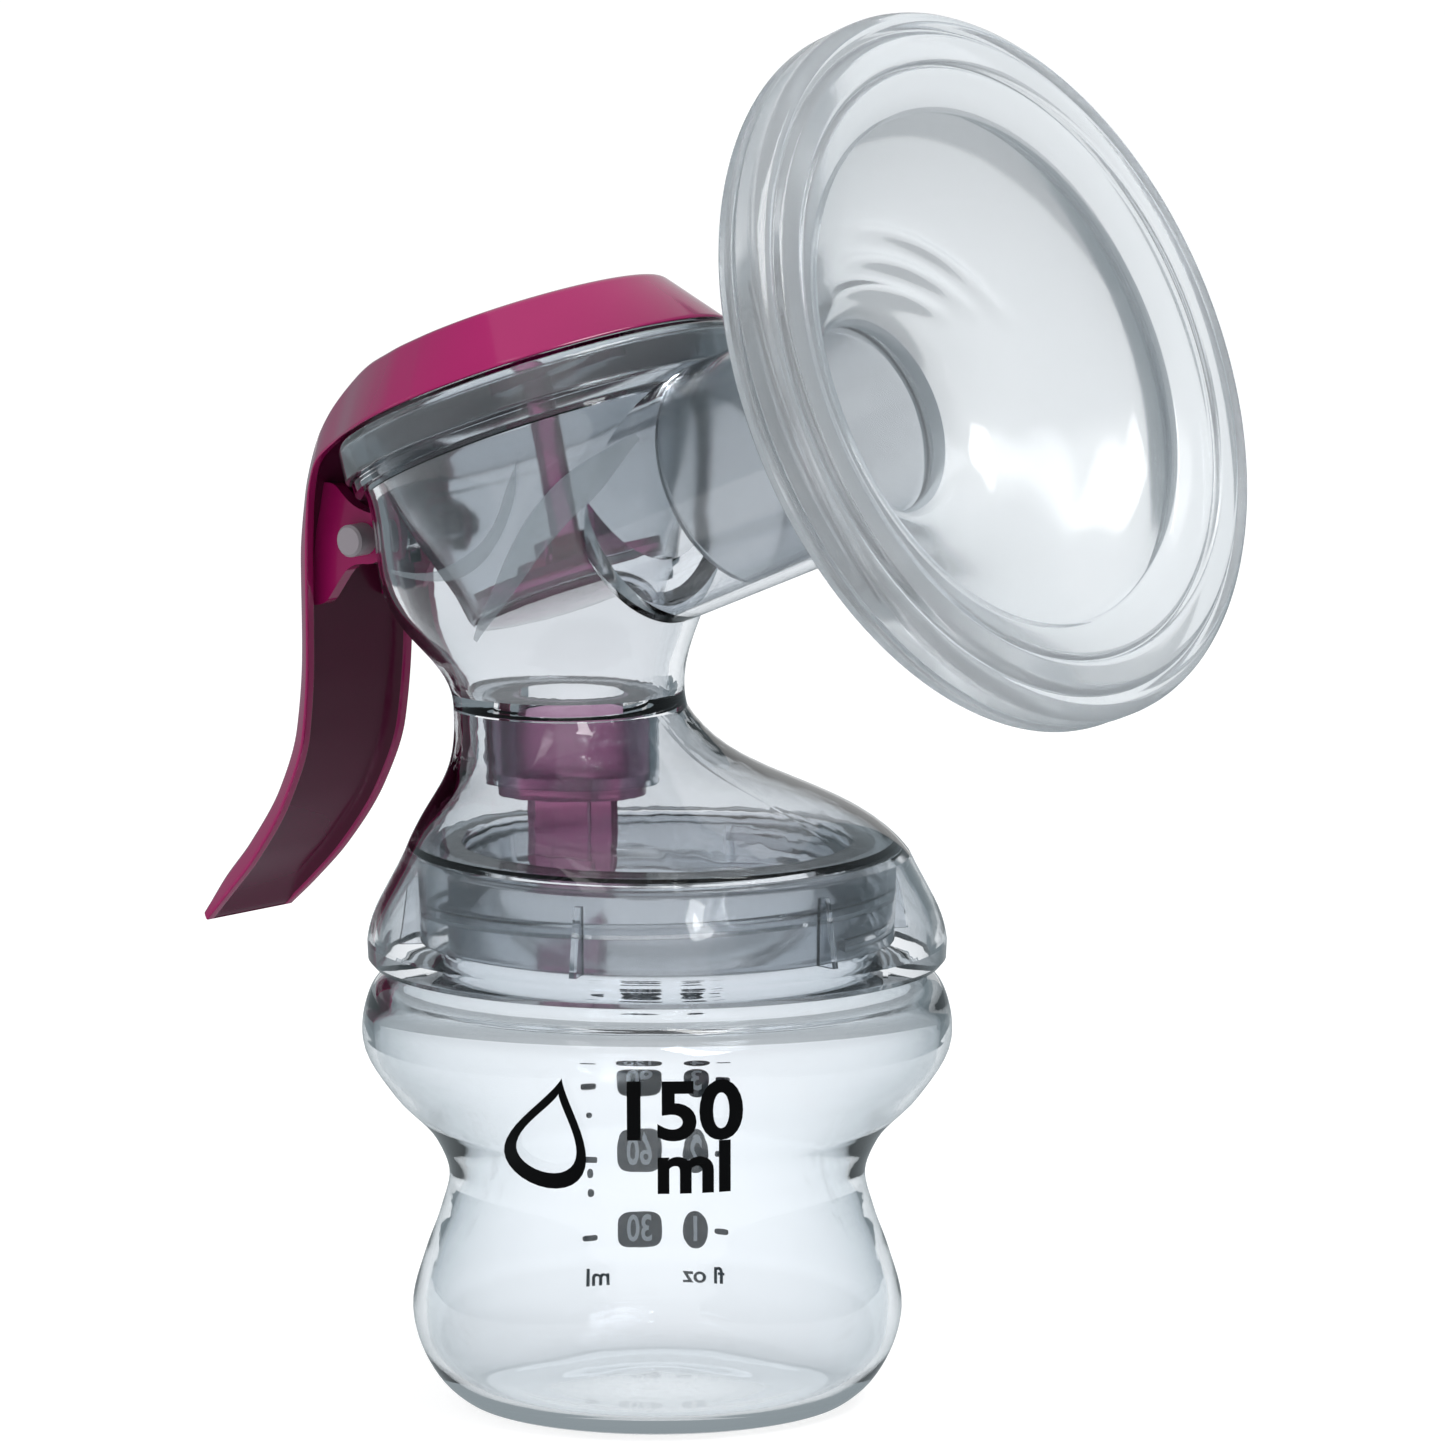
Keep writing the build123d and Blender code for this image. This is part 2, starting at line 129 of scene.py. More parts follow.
def make_card(name, corners, tone):
    """Grey studio card, hidden from the camera and casting no shadow.

    It shows in reflections and, unless transmission is switched off, through the clear walls.
    """
    mesh = bpy.data.meshes.new(name)
    mesh.from_pydata(corners, [], [(0, 1, 2, 3)])
    card = bpy.data.objects.new(name, mesh)
    bpy.context.scene.collection.objects.link(card)
    material = bpy.data.materials.new(name)
    material.use_nodes = True
    shader = material.node_tree.nodes["Principled BSDF"]
    shader.inputs["Base Color"].default_value = (0.0, 0.0, 0.0, 1.0)
    shader.inputs["Specular IOR Level"].default_value = 0.0
    shader.inputs["Emission Color"].default_value = (*tone, 1.0)
    shader.inputs["Emission Strength"].default_value = 1.0
    mesh.materials.append(material)
    card.visible_camera = False
    card.visible_diffuse = False
    card.visible_shadow = False
    return card


def make_flags():
    right = Vector((math.cos(CAMERA_AZIMUTH), math.sin(CAMERA_AZIMUTH), 0.0))
    away = Vector((-math.sin(CAMERA_AZIMUTH), math.cos(CAMERA_AZIMUTH), 0.0))
    rise = Vector((0.0, 0.0, 0.55))
    for name, sideways in (("flag_left", -0.24), ("flag_right", 0.26)):
        near = right * sideways - away * 0.65
        far = right * sideways + away * 0.85
        make_card(name, [near, far, far + rise, near + rise], (0.22, 0.26, 0.28))
    lift = Vector((0.0, 0.0, 0.0005))
    corners = [right * x + away * y + lift for x, y in ((-1.5, -1.5), (1.5, -1.5), (1.5, 1.5), (-1.5, 1.5))]
    ground = make_card("flag_ground", corners, (0.30, 0.34, 0.36))
    ground.visible_transmission = False


# ---- materials ----
def ramp(tree, source, low, high, bottom, top):
    """Smooth step of a value from `bottom` to `top` between `low` and `high`."""
    node = tree.nodes.new("ShaderNodeMapRange")
    node.interpolation_type = "SMOOTHSTEP"
    node.inputs["From Min"].default_value = low
    node.inputs["From Max"].default_value = high
    node.inputs["To Min"].default_value = bottom
    node.inputs["To Max"].default_value = top
    tree.links.new(source, node.inputs["Value"])
    return node.outputs["Result"]


def joined(tree, operation, first, second):
    node = tree.nodes.new("ShaderNodeMath")
    node.operation = operation
    tree.links.new(first, node.inputs[0])
    if isinstance(second, float):
        node.inputs[1].default_value = second
    else:
        tree.links.new(second, node.inputs[1])
    return node.outputs["Value"]


def blended(tree, factor, first, second):
    """Colour mix; each colour is a fixed one or a socket."""
    node = tree.nodes.new("ShaderNodeMix")
    node.data_type = "RGBA"
    tree.links.new(factor, node.inputs["Factor"])
    for socket, color in (("A", first), ("B", second)):
        if isinstance(color, tuple):
            node.inputs[socket].default_value = (*color, 1.0)
        else:
            tree.links.new(color, node.inputs[socket])
    return node.outputs["Result"]


def finish(name, color, roughness, transmission=0.0, ior=1.46, coat=0.0, tone=0.04, spread=0.02, grain=60.0,
           relief=0.02, edge=None, depth=2.6, milky=None, shine=0.5):
    """Moulded material, slightly uneven in tone, gloss and surface.

    edge is a deeper colour towards the rims, where a surface is seen along its length, and comes in sooner
    where depth is low: on clear walls partly the deeper tint of a wall seen along its length and partly
    painted shade for the dark surroundings the rims pick up, on opaque parts painted shade.
    milky is (low, high, radius, share): between those heights and inside that radius, in mm, the clear
    wall turns cloudy by that share.
    """
    material = bpy.data.materials.new(name)
    material.use_nodes = True
    tree = material.node_tree
    shader = tree.nodes["Principled BSDF"]
    place = tree.nodes.new("ShaderNodeTexCoord")
    broad = tree.nodes.new("ShaderNodeTexNoise")
    broad.inputs["Scale"].default_value = grain
    broad.inputs["Detail"].default_value = 3.0
    tree.links.new(place.outputs["Object"], broad.inputs["Vector"])
    darker = tuple(channel * (1.0 - tone) for channel in color)
    lighter = tuple(min(1.0, channel * (1.0 + tone)) for channel in color)
    surface_color = blended(tree, broad.outputs["Fac"], darker, lighter)
    gloss = ramp(tree, broad.outputs["Fac"], 0.3, 0.7, max(0.0, roughness - spread), roughness + spread)
    # edge colour: painted shade at the rims, on clear walls together with the deeper tint of a wall seen
    # along its length
    if edge:
        facing = tree.nodes.new("ShaderNodeLayerWeight")
        facing.inputs["Blend"].default_value = 0.5
        length = joined(tree, "POWER", facing.outputs["Facing"], depth)
        surface_color = blended(tree, length, surface_color, edge)
    if milky:
        low, high, radius, share = milky
        split = tree.nodes.new("ShaderNodeSeparateXYZ")
        tree.links.new(place.outputs["Object"], split.inputs["Vector"])
        above = ramp(tree, split.outputs["Z"], (low - 0.6) * MM, (low + 0.6) * MM, 0.0, 1.0)
        below = ramp(tree, split.outputs["Z"], (high - 0.6) * MM, (high + 0.6) * MM, 1.0, 0.0)
        flat = tree.nodes.new("ShaderNodeVectorMath")
        flat.operation = "MULTIPLY"
        flat.inputs[1].default_value = (1.0, 1.0, 0.0)
        tree.links.new(place.outputs["Object"], flat.inputs[0])
        reach = tree.nodes.new("ShaderNodeVectorMath")
        reach.operation = "LENGTH"
        tree.links.new(flat.outputs["Vector"], reach.inputs[0])
        within = ramp(tree, reach.outputs["Value"], (radius - 0.3) * MM, (radius + 0.3) * MM, 1.0, 0.0)
        cloud = joined(tree, "MULTIPLY", joined(tree, "MULTIPLY", above, below), within)
        clear_share = ramp(tree, cloud, 0.0, 1.0, transmission, transmission - share)
        tree.links.new(clear_share, shader.inputs["Transmission Weight"])
        gloss = joined(tree, "ADD", gloss, joined(tree, "MULTIPLY", cloud, share * 0.4))
    else:
        shader.inputs["Transmission Weight"].default_value = transmission
    tree.links.new(surface_color, shader.inputs["Base Color"])
    tree.links.new(gloss, shader.inputs["Roughness"])
    fine = tree.nodes.new("ShaderNodeTexNoise")
    fine.inputs["Scale"].default_value = grain * 3.0
    fine.inputs["Detail"].default_value = 2.0
    tree.links.new(place.outputs["Object"], fine.inputs["Vector"])
    bump = tree.nodes.new("ShaderNodeBump")
    bump.inputs["Strength"].default_value = relief
    bump.inputs["Distance"].default_value = 0.001
    tree.links.new(fine.outputs["Fac"], bump.inputs["Height"])
    tree.links.new(bump.outputs["Normal"], shader.inputs["Normal"])
    shader.inputs["IOR"].default_value = ior
    shader.inputs["Specular IOR Level"].default_value = shine
    shader.inputs["Coat Weight"].default_value = coat
    shader.inputs["Coat Roughness"].default_value = 0.04
    return material


def dress(node, material):
    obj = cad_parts[node]
    obj.data.materials.clear()
    obj.data.materials.append(material)


# ---- mesh helpers ----
def rounded(corners, steps=4, closed=True):
    """Points of a polyline whose corners (x, y, reach) are rounded within their reach."""
    count = len(corners)
    points = []
    for index, (x, y, reach) in enumerate(corners):
        here = Vector((x, y))
        if reach == 0.0 or (not closed and index in (0, count - 1)):
            points.append(here)
            continue
        before = Vector(corners[index - 1][:2]) - here
        after = Vector(corners[(index + 1) % count][:2]) - here
        start = here + before.normalized() * min(reach, before.length * 0.48)
        end = here + after.normalized() * min(reach, after.length * 0.48)
        for step in range(steps + 1):
            t = step / steps
            points.append(start * (1 - t) ** 2 + here * 2 * t * (1 - t) + end * t ** 2)
    return points


def densified(points, longest):
    """The same open polyline with no piece longer than `longest`."""
    result = [points[0]]
    for start, end in zip(points, points[1:]):
        pieces = max(1, math.ceil((end - start).length / longest))
        for step in range(1, pieces + 1):
            result.append(start.lerp(end, step / pieces))
    return result


def make_piece(name, points, faces, material, sharp=40.0, weld=True, second_material=None, second_faces=()):
    """Mesh object from points in mm; coincident points are joined and normals made to agree."""
    mesh = bpy.data.meshes.new(name)
    mesh.from_pydata([point * MM for point in points], [], faces)
    mesh.materials.append(material)
    if second_material:
        mesh.materials.append(second_material)
    for index in second_faces:
        mesh.polygons[index].material_index = 1
    work = bmesh.new()
    work.from_mesh(mesh)
    if weld:
        bmesh.ops.remove_doubles(work, verts=work.verts, dist=0.004 * MM)
    bmesh.ops.recalc_face_normals(work, faces=work.faces)
    work.to_mesh(mesh)
    work.free()
    for polygon in mesh.polygons:
        polygon.use_smooth = True
    mesh.set_sharp_from_angle(angle=math.radians(sharp))
    obj = bpy.data.objects.new(name, mesh)
    bpy.context.scene.collection.objects.link(obj)
    return obj


def loop_faces(rows, length, wrap_rows):
    """Quads between closed rings of `length` points each."""
    faces = []
    for row in range(rows if wrap_rows else rows - 1):
        following = (row + 1) % rows
        for index in range(length):
            beside = (index + 1) % length
            here = row * length
            there = following * length
            faces.append((here + index, here + beside, there + beside, there + index))
    return faces


def smooth_stations(stations, steps, flowing=False):
    """Cubic through rows of numbers, spaced by the first two; it never overshoots unless it is flowing."""
    places = [0.0]
    for before, after in zip(stations, stations[1:]):
        places.append(places[-1] + math.hypot(after[0] - before[0], after[1] - before[1]))
    columns = []
    for column in zip(*stations):
        slopes = [(b - a) / (t - s) for a, b, s, t in zip(column, column[1:], places, places[1:])]
        tangents = [slopes[0]]
        for index, (left, right) in enumerate(zip(slopes, slopes[1:])):
            before = places[index + 1] - places[index]
            after = places[index + 2] - places[index + 1]
            if flowing:
                tangents.append((left * after + right * before) / (before + after))
            else:
                tangents.append(0.0 if left * right <= 0 else 2 * left * right / (left + right))
        tangents.append(slopes[-1])
        values = []
        for index in range(len(slopes)):
            span = places[index + 1] - places[index]
            for step in range(steps):
                t = step / steps
                values.append(
                    column[index] * (1 + 2 * t) * (1 - t) ** 2
                    + tangents[index] * span * t * (1 - t) ** 2
                    + column[index + 1] * t * t * (3 - 2 * t)
                    + tangents[index + 1] * span * t * t * (t - 1)
                )
        values.append(column[-1])
        columns.append(values)
    return list(zip(*columns))


# ---- bottle ----
BOTTLE_SEGMENTS = 192
# height, half-width across, half-depth
BOTTLE_OUTSIDE = [
    (0.0, 21.6, 21.6), (0.25, 22.9, 22.9), (1.6, 25.1, 25.1), (6.4, 28.6, 28.8), (11.5, 29.9, 29.9),
    (18.5, 28.3, 29.6), (23.5, 26.5, 29.3), (28.7, 25.4, 29.3), (33.0, 27.1, 30.2), (38.5, 32.3, 33.0),
    (45.0, 35.9, 35.9), (49.0, 35.6, 35.6), (52.0, 34.3, 34.3), (53.9, 31.0, 31.0), (54.8, 27.0, 27.0),
    (56.2, 25.4, 25.4), (57.4, 25.4, 25.4),
]
BOTTLE_LIP = [
    (65.8, 25.4, 25.4), (66.1, 25.25, 25.25), (66.2, 24.9, 24.9), (66.2, 24.1, 24.1), (66.1, 23.75, 23.75),
    (65.8, 23.6, 23.6),
]
BOTTLE_INSIDE = [
    (55.2, 23.6, 23.6), (53.6, 24.6, 24.6), (52.2, 29.6, 29.6), (50.3, 32.6, 32.6), (48.0, 34.0, 34.0),
    (45.0, 34.3, 34.3), (38.5, 30.7, 31.4), (33.0, 25.5, 28.6), (28.7, 23.8, 27.7), (23.5, 24.9, 27.7),
    (18.5, 26.7, 28.0), (11.5, 28.3, 28.3), (6.4, 27.0, 27.2), (3.2, 24.4, 24.4), (1.8, 21.2, 21.2),
    (1.7, 18.0, 18.0), (1.8, 12.5, 12.5), (2.4, 9.2, 9.2), (3.3, 5.2, 5.2), (3.7, 0.05, 0.05),
]
THREAD_START = 58.6
THREAD_PITCH = 4.0
THREAD_TURNS = 1.3
THREAD_ROOT = 25.2
THREAD_CREST = 26.5
THREAD_STEPS = 160


def make_bottle(material):
    outside = smooth_stations(BOTTLE_OUTSIDE, 6, flowing=True)
    inside = smooth_stations(BOTTLE_INSIDE, 6, flowing=True)
    rows = outside + BOTTLE_LIP + inside
    points = []
    for height, across, deep in rows:
        for segment in range(BOTTLE_SEGMENTS):
            turn = 2 * math.pi * segment / BOTTLE_SEGMENTS
            level = Vector((0.0, 0.0, height))
            points.append(OUTWARD * deep * math.cos(turn) + RIGHTWARD * across * math.sin(turn) + level)
    faces = loop_faces(len(rows), BOTTLE_SEGMENTS, False)
    faces.append(tuple(range(BOTTLE_SEGMENTS)))
    last = (len(rows) - 1) * BOTTLE_SEGMENTS
    faces.append(tuple(range(last, last + BOTTLE_SEGMENTS)))
    ridge = [(THREAD_ROOT, -0.95), (THREAD_CREST, -0.4), (THREAD_CREST, 0.4), (THREAD_ROOT, 0.95)]
    base = len(points)
    for step in range(THREAD_STEPS + 1):
        share = step / THREAD_STEPS
        turn = 2 * math.pi * THREAD_TURNS * share
        rise = min(1.0, share * 12, (1 - share) * 12)
        for radius, height in ridge:
            reach = THREAD_ROOT + (radius - THREAD_ROOT) * rise
            middle = THREAD_START + THREAD_PITCH * THREAD_TURNS * share
            points.append(Vector((reach * math.cos(turn), reach * math.sin(turn), middle + height)))
    for step in range(THREAD_STEPS):
        here = base + step * 4
        for corner in range(4):
            beside = (corner + 1) % 4
            faces.append((here + corner, here + beside, here + 4 + beside, here + 4 + corner))
    bottle = make_piece("clear_bottle", points, faces, material, sharp=50.0)
    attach(bottle, "bottle")
    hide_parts("bottle")
    return bottle


# ---- silicone cup ----
CUP_SEGMENTS = 192
CUP_BACK = [
    (11.5, -24.0, 2.0), (11.5, -46.0, 0.4), (12.9, -46.0, 0.4), (12.9, -25.6, 0.8), (15.2, -25.4, 0.8),
    (17.5, -22.6, 2.0), (27.0, -15.0, 6.0), (37.5, -9.2, 3.0), (40.6, -7.9, 0.8), (41.2, -7.4, 0.3),
    (43.8, -7.4, 0.7), (43.8, -5.3, 0.6), (43.1, -5.0, 0.2), (43.9, -4.6, 0.4), (43.9, -1.8, 0.9),
    (42.3, -0.5, 0.6), (41.1, -1.2, 0.3), (40.4, -0.1, 0.6), (37.3, -0.2, 0.6), (36.8, -1.2, 0.3),
    (36.3, -0.6, 0.5), (33.4, -1.6, 0.6), (31.8, -2.6, 0.4), (31.6, -3.4, 0.3), (32.6, -4.4, 0.4),
    (33.2, -5.2, 0.6),
]
CUP_BELL = [
    (33.2, -5.2, 0.0), (31.8, -7.6, 2.0), (24.5, -13.0, 4.0), (16.0, -17.2, 3.0), (12.6, -20.0, 1.5),
    (11.5, -24.0, 0.0),
]
# petal-like ridges above the throat: radius and turn from the top, each a short crescent
RIDGES = [(14.4, 14.0), (17.2, 22.0), (20.0, 30.0)]
RIDGE_SPAN = 42.0
RIDGE_HEIGHT = 1.0
RIDGE_WIDTH = 0.85


def ridge_height(radius, turn):
    """Height of the bell's petal ridges at a radius and a turn in degrees from the top."""
    height = 0.0
    for ridge_radius, ridge_turn in RIDGES:
        reach = 1.0 - ((turn - ridge_turn) / RIDGE_SPAN) ** 2
        if reach > 0.0:
            bend = 1.6 * (1.0 - reach)
            fall = (radius - ridge_radius - bend) / RIDGE_WIDTH
            height += RIDGE_HEIGHT * reach * math.exp(-fall * fall)
    return height


def make_cup(material):
    back = rounded(CUP_BACK)[:-5]
    bell = densified(rounded(CUP_BELL, steps=8, closed=False), 0.4)
    profile = back + bell[1:-1]
    points = []
    for segment in range(CUP_SEGMENTS):
        turn = 2 * math.pi * segment / CUP_SEGMENTS
        way = UP * math.cos(turn) + SIDE * math.sin(turn)
        degrees = math.degrees(turn if turn < math.pi else turn - 2 * math.pi)
        for index, (radius, along) in enumerate(profile):
            lift = ridge_height(radius, degrees) if index >= len(back) else 0.0
            points.append(CUP_CENTRE + ALONG * (along + lift) + way * radius)
    cup = make_piece("funnel_cup", points, loop_faces(CUP_SEGMENTS, len(profile), True), material)
    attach(cup, "cup")
    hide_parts("silicone_cup")


# ---- silicone diaphragm with its cuff, one moulding ----
DIAPHRAGM_SEGMENTS = 144
DIAPHRAGM_PROFILE = [
    (0.0, -24.4, 0.0), (11.9, -24.4, 0.4), (12.3, -23.6, 0.4), (13.6, -21.0, 1.0), (18.0, -12.0, 3.0),
    (20.9, -2.4, 1.0), (21.0, -0.4, 0.3), (21.4, 0.3, 0.3), (25.2, 0.3, 0.5), (25.7, -0.5, 0.4),
    (25.7, -4.4, 0.4), (24.55, -4.4, 0.3), (24.55, -0.6, 0.3), (22.25, -0.6, 0.3), (22.2, -3.0, 1.0),
    (19.0, -12.0, 3.0), (14.6, -21.0, 1.5), (13.4, -24.8, 0.6), (12.8, -25.6, 0.5), (0.0, -25.6, 0.0),
]
DIAPHRAGM_SHIFT = -3.84


def make_diaphragm(material):
    profile = rounded(DIAPHRAGM_PROFILE)
    points = []
    for segment in range(DIAPHRAGM_SEGMENTS):
        turn = 2 * math.pi * segment / DIAPHRAGM_SEGMENTS
        way = ALONG * math.cos(turn) + SIDE * math.sin(turn)
        for radius, height in profile:
            lean = min(1.0, max(0.0, (-2.2 - height) / 22.2))
            points.append(LID_CENTRE + UP * height + ALONG * DIAPHRAGM_SHIFT * lean + way * radius)
    faces = loop_faces(DIAPHRAGM_SEGMENTS, len(profile), True)
    piece = make_piece("diaphragm_moulding", points, faces, material)
    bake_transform(piece)
    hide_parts("diaphragm_cuff", "diaphragm")


# ---- lever handle ----
HANDLE_WALL = 1.5
STEPS_PER_SPAN = 10


def lid_station(along, lower_half, upper_half):
    rim = LID_CENTRE + ALONG * along + UP * 0.9
    back = LID_CENTRE + ALONG * along + UP * 8.6
    return (rim.x, rim.z, back.x, back.z, lower_half, upper_half)


# rim x and z, back x and z, half-width at the rim, half-width at the back
HANDLE_STATIONS = [
    lid_station(0.0, 24.4, 18.5),
    lid_station(-4.0, 24.1, 18.1),
    lid_station(-8.0, 23.1, 16.8),
    lid_station(-12.5, 21.2, 14.8),
    (-37.2, 116.6, -38.6, 123.1, 16.4, 12.2),
    (-43.6, 112.6, -44.6, 117.0, 12.8, 10.3),
    (-45.8, 107.8, -48.0, 109.0, 11.2, 9.2),
    (-46.7, 100.0, -49.5, 100.3, 10.4, 8.5),
    (-46.9, 88.0, -49.8, 88.0, 10.1, 8.0),
    (-47.8, 78.5, -50.8, 79.2, 9.9, 7.9),
    (-51.0, 70.2, -53.6, 71.6, 9.7, 7.8),
    (-56.5, 62.3, -58.8, 64.2, 9.3, 7.4),
    (-61.7, 56.9, -63.8, 58.6, 8.8, 7.0),
    (-65.2, 53.6, -66.2, 54.6, 8.2, 7.7),
]


def handle_section(thickness, rim_half, back_half):
    """Half section from the back's middle out over the rim and in to the hollow's middle: (width, height)."""
    floor_height = max(thickness - HANDLE_WALL, 0.1)
    inset = HANDLE_WALL * 0.9
    slack = (rim_half - back_half) * floor_height / max(thickness, 0.01)
    inner_half = rim_half - inset - slack * 0.9
    corners = [
        (0.0, thickness, 0.0), (back_half, thickness, 0.9), (rim_half, 0.3, 0.35), (rim_half, 0.0, 0.25),
        (rim_half - inset, 0.0, 0.3), (inner_half, floor_height, 0.9), (0.0, floor_height, 0.0),
    ]
    half = rounded(corners, steps=5, closed=False)
    return half


def handle_shell():
    """Outer and inner surface of the cap and lever as one grid of rings."""
    rows = []
    stations = smooth_stations(HANDLE_STATIONS, STEPS_PER_SPAN)
    front = handle_section(7.7, *stations[0][4:])
    turns = 48
    for step in range(turns):
        turn = math.pi / 2 * step / turns
        row = []
        for side in (1, -1):
            half = front if side == 1 else front[::-1]
            for width, height in half:
                way = ALONG * math.cos(turn) + SIDE * (math.sin(turn) * side)
                row.append(LID_CENTRE + UP * (0.9 + height) + way * width)
        rows.append(row)
    for rim_x, rim_z, back_x, back_z, rim_half, back_half in stations:
        rim = Vector((rim_x, 0.0, rim_z))
        depth = Vector((back_x, 0.0, back_z)) - rim
        half = handle_section(depth.length, rim_half, back_half)
        row = []
        for width, height in half:
            row.append(rim + depth.normalized() * height + SIDE * width)
        for width, height in half[::-1]:
            row.append(rim + depth.normalized() * height - SIDE * width)
        rows.append(row)
    return rows


def box_between(low, high, place):
    """Corner points and faces of a box whose corners are mapped by `place`."""
    points = []
    for x in (low[0], high[0]):
        for y in (low[1], high[1]):
            for z in (low[2], high[2]):
                points.append(place(x, y, z))
    faces = [(0, 1, 3, 2), (4, 6, 7, 5), (0, 4, 5, 1), (2, 3, 7, 6), (0, 2, 6, 4), (1, 5, 7, 3)]
    return points, faces


def lid_place(along, side, up):
    return LID_CENTRE + ALONG * along + SIDE * side + UP * up


GUSSET = [
    (-48.6, 94.6, 0.4), (-46.2, 95.0, 1.0), (-42.2, 100.4, 2.0), (-37.2, 100.6, 2.2), (-36.6, 106.4, 2.4),
    (-41.8, 107.4, 2.0), (-44.8, 110.2, 1.0), (-47.6, 110.0, 0.4),
]


# ring positions between which a section runs inside the hollow
HOLLOW_START = 24


def make_handle(material, hollow_painted_shade_material):
    rows = handle_shell()
    length = len(rows[0])
    points = [point for row in rows for point in row]
    faces = loop_faces(len(rows), length, False)
    last = (len(rows) - 1) * length
    half = length // 2
    for index in range(half - 1):
        faces.append((last + index, last + index + 1, last + length - 2 - index, last + length - 1 - index))
    outline = rounded(GUSSET)
    for side in (-1, 1):
        base = len(points)
        for depth in (5.7, 7.5):
            points += [Vector((x, side * depth, z)) for x, z in outline]
        count = len(outline)
        for index in range(count):
            beside = (index + 1) % count
            faces.append((base + index, base + beside, base + count + beside, base + count + index))
        faces.append(tuple(range(base, base + count)))
        faces.append(tuple(range(base + count, base + 2 * count)))
        rail = ((-3.2, side * 4.0, 1.0), (10.4, side * 5.2, 7.4))
        hook = ((-3.2, side * 2.2, 1.0), (10.4, side * 5.0, 2.0))
        for low, high in (rail, hook):
            corners, sides = box_between(low, high, lid_place)
            base = len(points)
            points += corners
            faces += [tuple(base + corner for corner in quad) for quad in sides]
    # faces inside the hollow take the painted-shade copy of the magenta
    hollow = [
        index
        for index in range((len(rows) - 1) * length)
        if HOLLOW_START <= index % length <= length - 2 - HOLLOW_START
    ]
    handle = make_piece("lever_handle", points, faces, material, sharp=50.0,
                        second_material=hollow_painted_shade_material, second_faces=hollow)
    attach(handle, "lever")
    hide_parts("handle")


# ---- print on the bottle and frosted bands on the chamber ----
def surface_of(obj):
    points = [obj.matrix_world @ vertex.co for vertex in obj.data.vertices]
    return BVHTree.FromPolygons(points, [polygon.vertices[:] for polygon in obj.data.polygons])


def disc(centre_x, centre_z, half_x, half_z, power, count=48):
    """Flat rounded patch (superellipse) as one polygon."""
    outline = []
    for index in range(count):
        turn = 2 * math.pi * index / count
        x = math.copysign(abs(math.cos(turn)) ** (2 / power), math.cos(turn))
        z = math.copysign(abs(math.sin(turn)) ** (2 / power), math.sin(turn))
        outline.append(Vector((centre_x + half_x * x, centre_z + half_z * z)))
    return outline, [tuple(range(count))]


def lettering(text, centre_x, centre_z, size, squeeze=1.0, narrow=1.0, weight=0.02):
    """Flat letters as polygons, centred."""
    curve = bpy.data.curves.new("letters", "FONT")
    curve.body = text
    curve.size = size
    curve.align_x = "CENTER"
    curve.align_y = "CENTER"
    curve.offset = size * weight
    curve.resolution_u = 6
    holder = bpy.data.objects.new("letters", curve)
    bpy.context.scene.collection.objects.link(holder)
    bpy.context.view_layer.update()
    mesh = bpy.data.meshes.new_from_object(holder)
    points = [Vector((centre_x + v.co.x * narrow, centre_z + v.co.y * squeeze)) for v in mesh.vertices]
    faces = [tuple(p.vertices) for p in mesh.polygons]
    bpy.data.objects.remove(holder)
    bpy.data.meshes.remove(mesh)
    return points, faces


def printed(name, shapes, surface, outward, rightward, lifts, material):
    """Flat shapes laid on the bottle's wall as thin ink, one layer per lift above the wall."""
    flat = bmesh.new()
    for points, faces in shapes:
        verts = [flat.verts.new((point.x, point.y, 0.0)) for point in points]
        for face in faces:
            flat.faces.new([verts[index] for index in face])
    bmesh.ops.triangulate(flat, faces=flat.faces)
    for _ in range(4):
        long_edges = [edge for edge in flat.edges if edge.calc_length() > 1.1]
        if not long_edges:
            break
        bmesh.ops.subdivide_edges(flat, edges=long_edges, cuts=1)
        bmesh.ops.triangulate(flat, faces=flat.faces)
    flat.verts.ensure_lookup_table()
    points = []
    faces = []
    for lift in lifts:
        base = len(points)
        for vert in flat.verts:
            start = (outward * 70.0 + rightward * vert.co.x + Vector((0.0, 0.0, vert.co.y))) * MM
            hit, normal, _, _ = surface.ray_cast(start, -outward)
            points.append(hit / MM + normal.normalized() * lift)
        faces += [tuple(base + vert.index for vert in face.verts) for face in flat.faces]
    flat.free()
    piece = make_piece(name, points, faces, material, weld=False)
    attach(piece, "bottle")
    return piece


# height, millilitres, fluid ounces, squeeze: heights follow the look of the print, not the volume below it
SCALE_ROWS = [
    (15.4, "30", "1", 1.0),
    (25.3, "60", "2", 1.0),
    (34.6, "90", "3", 0.8),
    (38.9, "120", "4", 0.45),
]


def make_scale(ink, paper, surface):
    """Measuring scale on the wall that faces away, read from behind."""
    patches = []
    digits = []
    for height, millilitres, ounces, squeeze in SCALE_ROWS:
        narrow = 0.66 if len(millilitres) < 3 else 0.5
        patches.append(disc(2.5, height, 2.9, 2.5 * squeeze, 4.0))
        patches.append(disc(-4.8, height, 1.65, 2.6 * squeeze, 2.2))
        patches.append(disc(9.0, height - 0.9 * squeeze, 1.0, 0.45 * squeeze, 4.0))
        patches.append(disc(-8.2, height, 0.9, 0.45 * squeeze, 4.0))
        digits.append(lettering(millilitres, 2.5, height, 5.2, squeeze, narrow))
        digits.append(lettering(ounces, -4.8, height, 5.0, squeeze, 0.7))
    for height in (20.4, 22.8, 30.0):
        patches.append(disc(9.0, height, 0.4, 0.5, 2.5))
    patches.append(lettering("ml", 7.9, 9.2, 3.3))
    patches.append(lettering("fl oz", -5.8, 9.4, 3.1))
    printed("scale_marks", patches, surface, -OUTWARD, -RIGHTWARD, (0.06,), ink)
    printed("scale_digits", digits, surface, -OUTWARD, -RIGHTWARD, (0.02, 0.10), paper)


